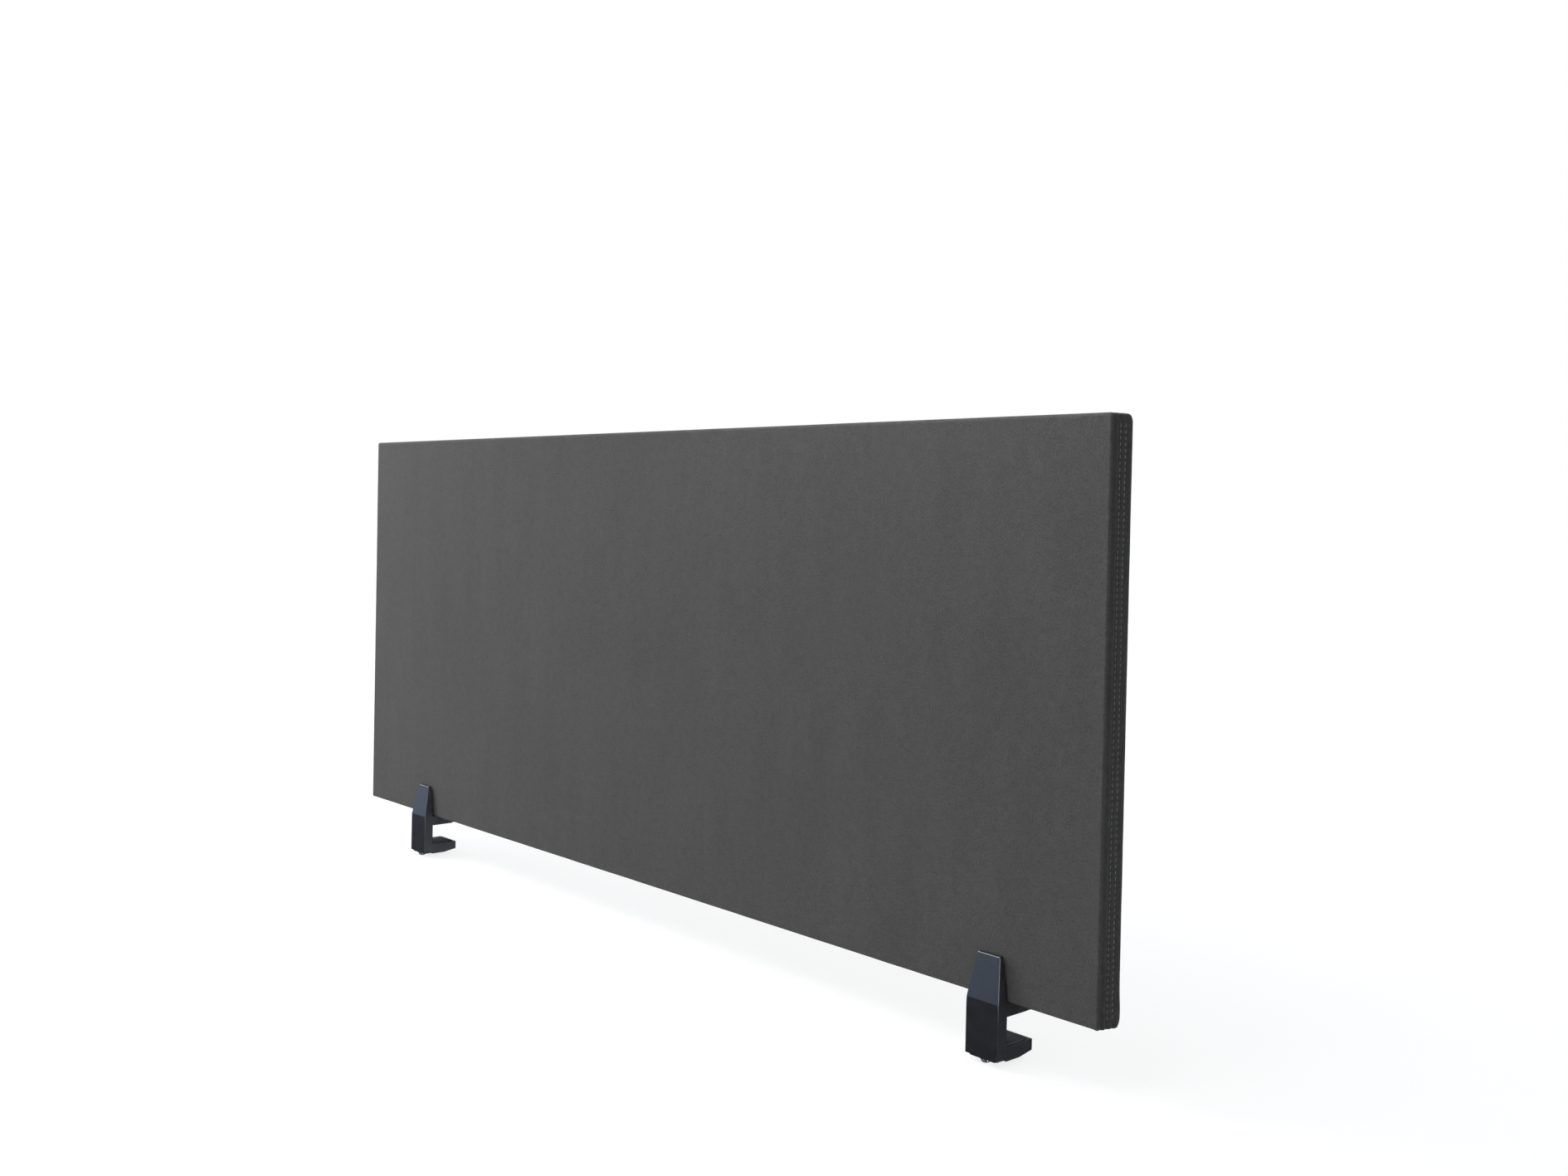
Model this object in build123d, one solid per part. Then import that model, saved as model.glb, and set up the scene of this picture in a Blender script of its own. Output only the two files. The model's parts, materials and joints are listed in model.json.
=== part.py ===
from build123d import *
import os
from math import cos, radians

# Desk privacy panel: a fabric-covered board along the edge of a desktop, held by two clamps.
# Millimetres. The origin is at the middle of the panel's length, on the desktop's top surface,
# at the desktop's front edge. +X runs along the panel, +Y into the desk, +Z up.

# ---------------------------------------------------------------- driving dimensions

panel_length = 1500.0
panel_height = 600.0
panel_thickness = 35.0
panel_front = 2.0            # panel's front face, behind the desktop's edge
panel_bottom = 15.0          # panel's lower edge, above the desktop

desktop_thickness = 28.0     # the desktop that the jaws hold in the rest position
left_clamp_x = -560.0
right_clamp_x = 618.5

running_gap = 0.05           # radial clearance of screws in their threads, and of sliding guides
soft_gap = 0.1               # clearance between soft pieces and their neighbours

# panel layers, from the outside in
fabric_thickness = 1.0
facing_thickness = 3.0
frame_thickness = 18.0
end_fold = 2.5               # room at each end for the seam's folded fabric
bottom_fold = 1.5            # room below the board for the hem that is turned under it
cover_corner_radius = 5.0
rail_width = 30.0
brad_radius = 0.9
brad_length = 45.0
brad_spacing = 10.0
staple_count = 12
staple_width = 10.0
staple_leg = 6.0
staple_wire = 0.7
strip_thickness = 1.0
strip_end_gap = 2.0          # the closing strip stops this far short of the board's ends

# clamp bracket
clamp_width = 43.0
spine_depth = 14.5           # spine thickness, outwards from the desktop's edge
spine_bottom = -42.5
shoulder_height = 15.5       # where the prongs start to taper
prong_top = 62.0
prong_top_width = 30.0
prong_top_thickness = 5.5
shoulder_radius = 150.0      # easing of the side taper
shoulder_crease_radius = 6.0 # easing of the sloping face
prong_top_round = 0.8
rear_face = 40.0             # inner face of the rear prong
pad_thickness = 1.5
edge_round = 1.0
inner_round = 1.5
steep = 0.3                  # an edge that rises more than this share of its length runs upwards

# guide channel for the lower jaw, inside the spine
channel_width = 33.0
channel_depth = 12.5
channel_top = -12.0

# lower jaw
jaw_thickness = 15.0
jaw_reach = 42.0
jaw_tip_thickness = 11.5
jaw_block_top = -26.0

# M6 button-head jaw screw with its washer and nut
screw_radius = 3.0
screw_length = 60.0
screw_y = -6.0
clearance_hole_radius = 3.3
screw_hole_top = 28.5
head_radius = 5.25
head_height = 3.3
head_round = 2.4             # rounding of the head's domed underside
head_socket_flats = 4.0
head_socket_depth = 2.0
washer_radius = 6.0
washer_thickness = 1.2
nut_flats = 10.0
nut_height = 5.0
nut_bottom = -7.0

# pressure plate and M6 grub screw in the rear prong
plate_width = 26.0
plate_height = 28.0
plate_bottom = 18.0
plate_thickness = 2.5
plate_pad_thickness = 1.0
pocket_depth = 4.0
dimple_depth = 1.0
grub_length = 10.0
grub_socket_flats = 3.0
grub_socket_depth = 4.0
insert_radius = 4.25
insert_length = 6.0
plate_pad_inset = 1.0

# pads
prong_pad_width = 24.0
prong_pad_bottom = 20.0
prong_pad_top = 52.0
desk_pad_width = 38.0
desk_pad_start = 3.0
desk_pad_end = 37.0
pad_round = 2.0

# ---------------------------------------------------------------- worked-out places

half_length = panel_length / 2
panel_back = panel_front + panel_thickness
panel_top = panel_bottom + panel_height
lining = fabric_thickness + soft_gap         # from the cover's outside to the board inside it
board_half_length = half_length - lining - end_fold
board_front = panel_front + lining
board_back = panel_back - lining
board_bottom = panel_bottom + lining + bottom_fold
board_top = panel_top - lining
padding_thickness = (board_back - board_front - frame_thickness - 2 * facing_thickness) / 2
facing_front_y = board_front + padding_thickness
frame_front_y = facing_front_y + facing_thickness
frame_back_y = frame_front_y + frame_thickness
facing_back_y = frame_back_y + facing_thickness
frame_centre_y = (frame_front_y + frame_back_y) / 2
stile_bottom = board_bottom + rail_width
stile_top = board_top - rail_width
strip_half_length = board_half_length - strip_end_gap
strip_top = board_bottom - soft_gap / 2
strip_bottom = strip_top - strip_thickness
staple_crown_bottom = strip_top - staple_wire

jaw_pad_bottom = -desktop_thickness - pad_thickness
jaw_bottom = jaw_pad_bottom - jaw_thickness
head_top = jaw_bottom - washer_thickness
plate_front = panel_back + soft_gap + plate_pad_thickness
plate_back = plate_front + plate_thickness
plate_middle = plate_bottom + plate_height / 2
pocket_floor = rear_face + pocket_depth
rear_prong_back = rear_face + spine_depth
grub_tip = plate_back - dimple_depth


# ---------------------------------------------------------------- helpers

def block(x_range, y_range, z_range):
    """A box between two values on each axis."""
    low = Vector(x_range[0], y_range[0], z_range[0])
    high = Vector(x_range[1], y_range[1], z_range[1])
    size = high - low
    return Pos(*((low + high) / 2)) * Box(size.X, size.Y, size.Z)


def upright(radius, bottom, top, x=0.0, y=0.0):
    """A vertical cylinder."""
    return Pos(x, y, (bottom + top) / 2) * Cylinder(radius, top - bottom)


def lengthwise(radius, front, back, z):
    """A cylinder along Y."""
    return Pos(0, (front + back) / 2, z) * Rot(90, 0, 0) * Cylinder(radius, back - front)


def hexagon(flats, height):
    """A hexagonal prism from z = 0 up, with two flats facing +X and -X."""
    corner_radius = flats / 2 / cos(radians(30))
    return extrude(RegularPolygon(corner_radius, 6, rotation=30), height)


# ---------------------------------------------------------------- panel

def panel_shape(inset):
    """The panel's outer shape less an inset: rounded on its upright and top edges, square below."""
    shape = block(
        (-half_length + inset, half_length - inset),
        (panel_front + inset, panel_back - inset),
        (panel_bottom, panel_top - inset),
    )
    round_edges = shape.edges().filter_by(Axis.Z) + shape.faces().sort_by(Axis.Z)[-1].edges()
    return fillet(round_edges, cover_corner_radius - inset)


def fabric_cover():
    """The sewn sleeve: one fabric skin, open along its lower edge."""
    return panel_shape(0) - panel_shape(fabric_thickness)


def board_sheet(front, back):
    """A full-size sheet of the board, rounded where the cover is rounded."""
    sheet = block((-board_half_length, board_half_length), (front, back), (board_bottom, board_top))
    return sheet & board_envelope


def frame_rail(bottom):
    """A rail along the panel's whole length."""
    rail = block(
        (-board_half_length, board_half_length),
        (frame_front_y, frame_back_y),
        (bottom, bottom + rail_width),
    )
    return rail & board_envelope


def frame_stile(x_middle):
    """An upright between the two rails."""
    return block(
        (x_middle - rail_width / 2, x_middle + rail_width / 2),
        (frame_front_y, frame_back_y),
        (stile_bottom, stile_top),
    )


def honeycomb_infill(x_range):
    """The light honeycomb board that fills one bay of the frame."""
    return block(x_range, (frame_front_y, frame_back_y), (stile_bottom, stile_top))


def frame_brads(stile_places):
    """Two brads through each rail into each stile."""
    brads = []
    for x_middle in stile_places:
        for side in (-1, 1):
            x = x_middle + side * brad_spacing / 2
            brads.append(upright(brad_radius, board_bottom, board_bottom + brad_length, x, frame_centre_y))
            brads.append(upright(brad_radius, board_top - brad_length, board_top, x, frame_centre_y))
    return brads


def closing_strip():
    """The fabric strip that closes the cover along the panel's underside."""
    return block(
        (-strip_half_length, strip_half_length),
        (panel_front + lining, panel_back - lining),
        (strip_bottom, strip_top),
    )


def strip_staples():
    """Staples through the closing strip into the bottom rail, their crowns sunk in the fabric."""
    staples = []
    spacing = 2 * strip_half_length / staple_count
    leg_top = strip_top + staple_leg
    for index in range(staple_count):
        x = -strip_half_length + (index + 0.5) * spacing
        crown = block(
            (x - staple_width / 2, x + staple_width / 2),
            (frame_centre_y - staple_wire / 2, frame_centre_y + staple_wire / 2),
            (staple_crown_bottom, staple_crown_bottom + staple_wire),
        )
        for side in (-1, 1):
            leg_x = x + side * (staple_width - staple_wire) / 2
            crown += block(
                (leg_x - staple_wire / 2, leg_x + staple_wire / 2),
                (frame_centre_y - staple_wire / 2, frame_centre_y + staple_wire / 2),
                (staple_crown_bottom, leg_top),
            )
        staples.append(crown)
    return staples


# ---------------------------------------------------------------- clamp, modelled around x = 0

def corners_at_height(outline, height):
    """The corners of a flat outline that lie at one height."""
    return [corner for corner in outline.vertices() if abs(corner.Y - height) < soft_gap / 2]


def side_outline():
    """The bracket seen along X: spine, front prong, arm and rear prong in one run."""
    front_top = -prong_top_thickness
    rear_top = rear_face + prong_top_thickness
    points = [
        (-spine_depth, spine_bottom),
        (0, spine_bottom),
        (0, pad_thickness),
        (rear_prong_back, pad_thickness),
        (rear_prong_back, shoulder_height),
        (rear_top, prong_top),
        (rear_face, prong_top),
        (rear_face, panel_bottom - soft_gap),
        (0, panel_bottom - soft_gap),
        (0, prong_top),
        (front_top, prong_top),
        (-spine_depth, shoulder_height),
    ]
    outline = make_face(Polyline(*points, close=True))
    slot_corners = corners_at_height(outline, panel_bottom - soft_gap)
    outline = fillet(slot_corners, inner_round)
    shoulders = [
        corner for corner in corners_at_height(outline, shoulder_height)
        if not 0 < corner.X < rear_face
    ]
    return fillet(shoulders, shoulder_crease_radius)


def front_outline():
    """The bracket seen along Y: a straight block whose sides ease into a taper above the shoulder."""
    half_block = clamp_width / 2
    half_top = prong_top_width / 2
    points = [
        (-half_block, spine_bottom),
        (half_block, spine_bottom),
        (half_block, shoulder_height),
        (half_top, prong_top),
        (-half_top, prong_top),
        (-half_block, shoulder_height),
    ]
    outline = make_face(Polyline(*points, close=True))
    return fillet(corners_at_height(outline, shoulder_height), shoulder_radius)


def is_outer_corner(edge):
    """Whether an edge runs up one of the bracket's four outer corners."""
    middle = edge.center()
    outside = middle.Y < -prong_top_thickness or middle.Y > rear_face + prong_top_thickness
    at_a_side = abs(middle.X) > prong_top_width / 4
    return outside and at_a_side and abs(edge.tangent_at(0.5).Z) > steep


def clamp_bracket():
    """The moulded bracket, with its jaw channel, nut slot, screw hole and plate pocket."""
    side = extrude(Plane.YZ * side_outline(), clamp_width / 2, both=True)
    front = extrude(Plane.XZ * front_outline(), -rear_prong_back)
    front += extrude(Plane.XZ * front_outline(), spine_depth)
    bracket = side & front

    bracket = fillet([edge for edge in bracket.edges() if is_outer_corner(edge)], edge_round)
    top_edges = [edge for edge in bracket.edges() if abs(edge.center().Z - prong_top) < soft_gap / 2]
    bracket = fillet(top_edges, prong_top_round)

    bracket -= block(
        (-channel_width / 2, channel_width / 2), (-channel_depth, edge_round), (spine_bottom, channel_top)
    )
    bracket -= upright(clearance_hole_radius, channel_top, screw_hole_top, y=screw_y)
    nut_space = hexagon(nut_flats + 2 * running_gap, nut_height + 2 * running_gap)
    nut_way = block(
        (-nut_flats / 2 - running_gap, nut_flats / 2 + running_gap),
        (0, -screw_y + edge_round),
        (0, nut_height + 2 * running_gap),
    )
    bracket -= Pos(0, screw_y, nut_bottom - running_gap) * (nut_space + nut_way)

    bracket -= block(
        (-plate_width / 2 - running_gap, plate_width / 2 + running_gap),
        (rear_face, pocket_floor),
        (plate_bottom - running_gap, plate_bottom + plate_height + running_gap),
    )
    bracket -= lengthwise(insert_radius, pocket_floor, pocket_floor + insert_length, plate_middle)
    bracket -= lengthwise(clearance_hole_radius, pocket_floor, rear_prong_back, plate_middle)
    return bracket


def prong_pad():
    """The soft pad between the front prong and the panel."""
    pad = block(
        (-prong_pad_width / 2, prong_pad_width / 2),
        (0, panel_front - soft_gap),
        (prong_pad_bottom, prong_pad_top),
    )
    return fillet(pad.edges().filter_by(Axis.Y), pad_round)


def desk_pad(bottom):
    """A rubber pad that bears on the desktop."""
    pad = block(
        (-desk_pad_width / 2, desk_pad_width / 2),
        (desk_pad_start, desk_pad_end),
        (bottom, bottom + pad_thickness),
    )
    return fillet(pad.edges().filter_by(Axis.Z), pad_round)


def clamp_nut():
    """The hexagon nut held in the spine's slot."""
    nut = Pos(0, screw_y, nut_bottom) * hexagon(nut_flats, nut_height)
    return nut - upright(screw_radius + running_gap, nut_bottom, nut_bottom + nut_height, y=screw_y)


def lower_jaw():
    """The jaw: a block that slides in the spine's channel, and an arm under the desktop."""
    guide = block(
        (-channel_width / 2 + running_gap, channel_width / 2 - running_gap),
        (-channel_depth + running_gap, soft_gap),
        (jaw_bottom, jaw_block_top),
    )
    arm_points = [
        (soft_gap, jaw_bottom),
        (jaw_reach / 2, jaw_bottom),
        (jaw_reach, jaw_pad_bottom - jaw_tip_thickness),
        (jaw_reach, jaw_pad_bottom),
        (soft_gap, jaw_pad_bottom),
    ]
    arm = extrude(Plane.YZ * make_face(Polyline(*arm_points, close=True)), clamp_width / 2, both=True)
    tip_edges = [edge for edge in arm.edges() if edge.center().Y > jaw_reach - edge_round]
    arm = fillet(tip_edges, edge_round)
    jaw = guide + arm
    # the guide stops level with the desktop's edge so that the desktop can sit against the spine
    jaw -= block((-clamp_width, clamp_width), (0, soft_gap), (jaw_pad_bottom, jaw_block_top))
    return jaw - upright(clearance_hole_radius, jaw_bottom, jaw_block_top, y=screw_y)


def jaw_washer():
    """The washer between the screw's head and the jaw."""
    washer = upright(washer_radius, head_top, jaw_bottom, y=screw_y)
    return washer - upright(clearance_hole_radius, head_top, jaw_bottom, y=screw_y)


def jaw_screw():
    """The button-head screw that draws the jaw up."""
    head = upright(head_radius, head_top - head_height, head_top, y=screw_y)
    head = fillet(head.edges().sort_by(Axis.Z)[0], head_round)
    head -= Pos(0, screw_y, head_top - head_height) * hexagon(head_socket_flats, head_socket_depth)
    return head + upright(screw_radius, head_top, head_top + screw_length, y=screw_y)


def thread_insert():
    """The brass insert that carries the grub screw in the rear prong."""
    insert = lengthwise(insert_radius, pocket_floor, pocket_floor + insert_length, plate_middle)
    return insert - lengthwise(
        screw_radius + running_gap, pocket_floor, pocket_floor + insert_length, plate_middle
    )


def pressure_plate():
    """The steel plate that holds the panel, with a dimple for the grub screw's tip."""
    plate = block(
        (-plate_width / 2, plate_width / 2),
        (plate_front, plate_back),
        (plate_bottom, plate_bottom + plate_height),
    )
    return plate - lengthwise(screw_radius + soft_gap, grub_tip, plate_back, plate_middle)


def plate_pad():
    """The soft facing glued to the pressure plate."""
    return block(
        (-plate_width / 2 + plate_pad_inset, plate_width / 2 - plate_pad_inset),
        (plate_front - plate_pad_thickness, plate_front),
        (plate_bottom + plate_pad_inset, plate_bottom + plate_height - plate_pad_inset),
    )


def grub_screw():
    """The socket grub screw that pushes the plate."""
    screw = lengthwise(screw_radius, grub_tip, grub_tip + grub_length, plate_middle)
    screw = chamfer(screw.edges().sort_by(Axis.Y)[0], edge_round / 2)
    socket = Rot(90, 0, 0) * hexagon(grub_socket_flats, grub_socket_depth)
    return screw - Pos(0, grub_tip + grub_length, plate_middle) * socket


# ---------------------------------------------------------------- the whole object

board_envelope = panel_shape(lining)


def panel_pieces():
    """The panel's nodes by name."""
    end_stile_x = board_half_length - rail_width / 2
    bay_inner = rail_width / 2
    bay_outer = board_half_length - rail_width
    return {
        "fabric_cover": fabric_cover(),
        "cover_closing_strip": closing_strip(),
        "strip_staples": strip_staples(),
        "front_padding": board_sheet(board_front, facing_front_y),
        "rear_padding": board_sheet(facing_back_y, board_back),
        "front_facing_sheet": board_sheet(facing_front_y, frame_front_y),
        "rear_facing_sheet": board_sheet(frame_back_y, facing_back_y),
        "frame_top_rail": frame_rail(stile_top),
        "frame_bottom_rail": frame_rail(board_bottom),
        "frame_left_stile": frame_stile(-end_stile_x),
        "frame_middle_stile": frame_stile(0),
        "frame_right_stile": frame_stile(end_stile_x),
        "left_honeycomb_infill": honeycomb_infill((-bay_outer, -bay_inner)),
        "right_honeycomb_infill": honeycomb_infill((bay_inner, bay_outer)),
        "frame_brads": frame_brads((-end_stile_x, 0, end_stile_x)),
    }


def clamp_pieces():
    """One clamp's nodes by name, around x = 0."""
    return {
        "clamp_bracket": clamp_bracket(),
        "clamp_nut": clamp_nut(),
        "thread_insert": thread_insert(),
        "prong_pad": prong_pad(),
        "desk_top_pad": desk_pad(0),
        "lower_jaw": lower_jaw(),
        "jaw_pad": desk_pad(jaw_pad_bottom),
        "jaw_washer": jaw_washer(),
        "jaw_screw": jaw_screw(),
        "pressure_plate": pressure_plate(),
        "plate_pad": plate_pad(),
        "grub_screw": grub_screw(),
    }


def write_node(name, shape):
    """Write one node; a list of solids becomes one group."""
    if isinstance(shape, list):
        shape = Compound(children=shape)
    shape.label = name
    export_step(shape, f"parts/{name}.step")


os.makedirs("parts", exist_ok=True)
for name, shape in panel_pieces().items():
    write_node(name, shape)
for side, clamp_x in (("left", left_clamp_x), ("right", right_clamp_x)):
    for name, shape in clamp_pieces().items():
        write_node(f"{side}_{name}", Pos(clamp_x, 0, 0) * shape)
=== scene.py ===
"""Looks of the desk privacy panel: a sewn fabric cover over a padded board, on two black clamps."""

import json
import math
import random

import bpy
import numpy as np
from mathutils import Matrix, Vector, noise


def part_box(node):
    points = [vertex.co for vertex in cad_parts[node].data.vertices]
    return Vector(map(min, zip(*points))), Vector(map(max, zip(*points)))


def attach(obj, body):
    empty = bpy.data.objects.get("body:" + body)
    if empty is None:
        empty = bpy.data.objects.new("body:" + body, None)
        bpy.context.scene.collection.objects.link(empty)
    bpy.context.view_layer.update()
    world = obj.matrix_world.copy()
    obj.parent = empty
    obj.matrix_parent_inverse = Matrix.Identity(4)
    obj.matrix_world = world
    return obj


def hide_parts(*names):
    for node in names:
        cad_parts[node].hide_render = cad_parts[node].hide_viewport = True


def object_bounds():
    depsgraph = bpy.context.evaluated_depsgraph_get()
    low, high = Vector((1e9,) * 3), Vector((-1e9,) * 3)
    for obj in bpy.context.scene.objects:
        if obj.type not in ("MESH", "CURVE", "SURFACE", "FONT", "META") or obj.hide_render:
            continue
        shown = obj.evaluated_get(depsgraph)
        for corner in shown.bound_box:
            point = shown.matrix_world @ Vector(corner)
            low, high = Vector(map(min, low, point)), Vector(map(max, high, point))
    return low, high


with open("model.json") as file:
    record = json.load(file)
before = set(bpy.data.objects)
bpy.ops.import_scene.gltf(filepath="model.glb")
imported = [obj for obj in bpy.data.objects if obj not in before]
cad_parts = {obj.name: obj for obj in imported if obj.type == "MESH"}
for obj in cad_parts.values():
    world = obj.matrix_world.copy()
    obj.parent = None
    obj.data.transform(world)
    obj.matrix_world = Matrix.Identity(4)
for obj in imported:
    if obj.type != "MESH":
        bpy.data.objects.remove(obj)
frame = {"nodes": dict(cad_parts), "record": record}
cad_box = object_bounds()

MM = 0.001

# ---------------------------------------------------------------- places taken from the frame

panel_low, panel_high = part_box("fabric_cover")
panel_size = panel_high - panel_low
panel_middle = (panel_low + panel_high) / 2

# ---------------------------------------------------------------- sizes of the looks

# sewn cover
skin_inset = 0.15 * MM            # how far the skin's proudest point lies inside the CAD cover
skin_thickness = 0.5 * MM
crown_depth = 0.30 * MM           # how much the face falls away from its middle to its edges
ripple_depth = 0.12 * MM          # slow waves in the stretched cloth
edge_fade = 14.0 * MM             # an edge's own relief fades out over this much of the next face
front_edge_round = 2.4 * MM
rear_edge_round = 1.5 * MM
top_front_round = 3.2 * MM
top_rear_round = 8.5 * MM
bottom_front_round = 2.0 * MM
bottom_rear_round = 8.5 * MM
face_step = 30.0 * MM             # spacing of the skin's grid along the panel
depth_step = 0.75 * MM            # across its thickness
height_step = 1.25 * MM           # and up its height, a fifth of a stitch
side_hem = 7.0 * MM               # cloth turned under the panel's front and back
end_hem = 12.0 * MM               # and under its ends
hem_ripple = 0.5 * MM
end_swell = 0.9 * MM              # how far the padding pushes the end's cloth out past its flat end
rear_swell = 1.3 * MM             # and how much further towards the rear
foot_sag = 2.8 * MM               # how far the loose cloth hangs at the foot of each end
foot_tuck = 0.6 * MM              # lift of the gathered cloth at the foot of each seam
loose_length = 8.0 * MM           # the cloth is loose this far in from each end, past the clamps' travel
corner_slack = 1.0 * MM           # what lies inside stays this far from the skin's rounded rear corners

# padding sheets and closing strip
foam_squeeze = 0.4 * MM           # how far the cloth presses the padding in
foam_edge_round = 1.6 * MM        # rounding of its edges, across its thickness
foam_end_round = 5.4 * MM         # and along its length and height
foam_uneven = 0.12 * MM           # depth of its sawn face's unevenness
strip_thickness = 0.35 * MM
strip_waves = 0.08 * MM

# seam on each end; places are shares of the panel's thickness from the front
front_hollow = 0.17
seam_roll = 0.31
seam_ditch = 0.395
stitch_rows = (0.475, 0.700)
rear_roll = 0.86
seam_base = 0.85 * MM             # how far the end's cloth lies behind its proudest line
roll_height = 0.95 * MM
hollow_depth = 0.8 * MM
ditch_depth = 2.0 * MM
stitch_channel_depth = 0.8 * MM
seam_wander = 0.3 * MM            # how far the seam strays from a straight line
seam_unevenness = 0.15 * MM
foot_bulge = 0.8                  # how much more the rear swells near its foot, as a share
foot_bulge_height = 14.0 * MM     # height of that bulge's middle, and its reach up and down

# thread
stitch_pitch = 6.15 * MM
stitch_start = panel_low.z + 1.1 * stitch_pitch
stitch_length = 4.0 * MM
thread_radius = 0.42 * MM

# studio
ambient = 0.46
ambient_lean = 1.0                # how much brighter the front left is than the back right
floor_glow = 0.82                 # keeps the floor pale to the camera without lighting the object

# fasteners
thread_pitch = 1.0 * MM
thread_depth = 0.32 * MM


# ---------------------------------------------------------------- materials

class Shader:
    """A node tree, built one node at a time."""

    def __init__(self, tree, coordinates):
        self.tree = tree
        self.place = self.add("ShaderNodeTexCoord").outputs[coordinates]

    def feed(self, socket, value):
        """Link a socket to another node's output, or set its value."""
        if isinstance(value, bpy.types.Node):
            value = value.outputs[0]
        if isinstance(value, bpy.types.NodeSocket):
            self.tree.links.new(value, socket)
        elif hasattr(value, "__len__") and len(value) == 3 and socket.type == "RGBA":
            socket.default_value = (*value, 1.0)
        else:
            socket.default_value = value

    def add(self, kind, settings=None, **inputs):
        """A new node; inputs are named, with _ for a space."""
        node = self.tree.nodes.new(kind)
        for key, value in (settings or {}).items():
            setattr(node, key, value)
        for key, value in inputs.items():
            self.feed(node.inputs[key.replace("_", " ")], value)
        return node

    def math(self, operation, first, second=0.0):
        node = self.add("ShaderNodeMath", {"operation": operation})
        for socket, value in zip(node.inputs, (first, second)):
            self.feed(socket, value)
        return node.outputs[0]

    def axes(self, vector=None):
        """The three parts of a vector."""
        return self.add("ShaderNodeSeparateXYZ", Vector=vector or self.place).outputs

    def stretched(self, x, y, z):
        """The object's own coordinates, scaled by axis."""
        return self.add("ShaderNodeMapping", Vector=self.place, Scale=(x, y, z)).outputs[0]

    def noise(self, size, detail=3.0, roughness=0.55, vector=None):
        """Noise whose features are about size metres across."""
        return self.add(
            "ShaderNodeTexNoise",
            Vector=vector or self.place, Scale=1.0 / size, Detail=detail, Roughness=roughness,
        ).outputs["Fac"]

    def remap(self, value, low, high, from_low=0.0, from_high=1.0):
        node = self.add("ShaderNodeMapRange")
        for key, number in (
            ("Value", value), ("From Min", from_low), ("From Max", from_high),
            ("To Min", low), ("To Max", high),
        ):
            self.feed(node.inputs[key], number)
        return node.outputs[0]

    def blend(self, share, first, second, mode="MIX"):
        """Mix two colours."""
        node = self.add("ShaderNodeMix", {"data_type": "RGBA", "blend_type": mode})
        self.feed(node.inputs[0], share)
        self.feed(node.inputs[6], first)
        self.feed(node.inputs[7], second)
        return node.outputs[2]

    def grey(self, value):
        """A grey colour of this value."""
        return self.add("ShaderNodeCombineColor", Red=value, Green=value, Blue=value).outputs[0]

    def nearness(self, direction, low, high):
        """1 towards a direction and 0 away from it; low and high are the cosines of its soft edge."""
        alike = self.add("ShaderNodeVectorMath", {"operation": "DOT_PRODUCT"})
        self.feed(alike.inputs[0], self.place)
        alike.inputs[1].default_value = Vector(direction).normalized()
        return self.remap(alike.outputs["Value"], 0.0, 1.0, low, high)

    def bump(self, height, distance, strength=1.0, under=None):
        """Add a relief to the surface normal."""
        node = self.add("ShaderNodeBump", Height=height, Distance=distance, Strength=strength)
        if under is not None:
            self.feed(node.inputs["Normal"], under)
        return node.outputs[0]

    def soft_edge(self, radius):
        """Normals that round every sharp edge by this radius, and a mask that is 1 on those edges."""
        rounded = self.add("ShaderNodeBevel", {"samples": 6}, Radius=radius).outputs[0]
        flat = self.add("ShaderNodeNewGeometry").outputs["Normal"]
        alike = self.add("ShaderNodeVectorMath", {"operation": "DOT_PRODUCT"})
        self.feed(alike.inputs[0], rounded)
        self.feed(alike.inputs[1], flat)
        mask = self.remap(alike.outputs["Value"], 1.0, 0.0, 0.80, 0.995)
        return rounded, mask


class Look(Shader):
    """A node material, built around a Principled surface."""

    def __init__(self, name):
        self.material = bpy.data.materials.new(name)
        self.material.use_nodes = True
        super().__init__(self.material.node_tree, "Object")
        self.surface = self.tree.nodes["Principled BSDF"]

    def set(self, **inputs):
        """Set inputs of the surface."""
        for key, value in inputs.items():
            self.feed(self.surface.inputs[key.replace("_", " ")], value)


def face_coordinates(look):
    """Two coordinates that follow the cloth on every side of the panel."""
    x, y, z = look.axes()
    normal = look.axes(look.add("ShaderNodeNewGeometry").outputs["Normal"])
    across = look.math("POWER", look.math("ABSOLUTE", normal[0]), 4.0)
    upward = look.math("POWER", look.math("ABSOLUTE", normal[2]), 4.0)
    along = look.math("ADD", x, look.math("MULTIPLY", look.math("SUBTRACT", y, x), across))
    height = look.math("ADD", z, look.math("MULTIPLY", look.math("SUBTRACT", y, z), upward))
    return along, height


def weave_height(look, pitch):
    """A plain weave: threads that pass over and under each other."""
    along, height = face_coordinates(look)
    turn_along = look.math("MULTIPLY", along, math.pi / pitch)
    turn_height = look.math("MULTIPLY", height, math.pi / pitch)
    warp = look.math("ABSOLUTE", look.math("SINE", turn_along))
    weft = look.math("ABSOLUTE", look.math("SINE", turn_height))
    over = look.math("MULTIPLY", look.math("COSINE", turn_along), look.math("COSINE", turn_height))
    share = look.remap(over, 0.0, 1.0, -0.15, 0.15)
    first = look.math("MULTIPLY", warp, share)
    second = look.math("MULTIPLY", weft, look.math("SUBTRACT", 1.0, share))
    return look.math("ADD", first, second)


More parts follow.
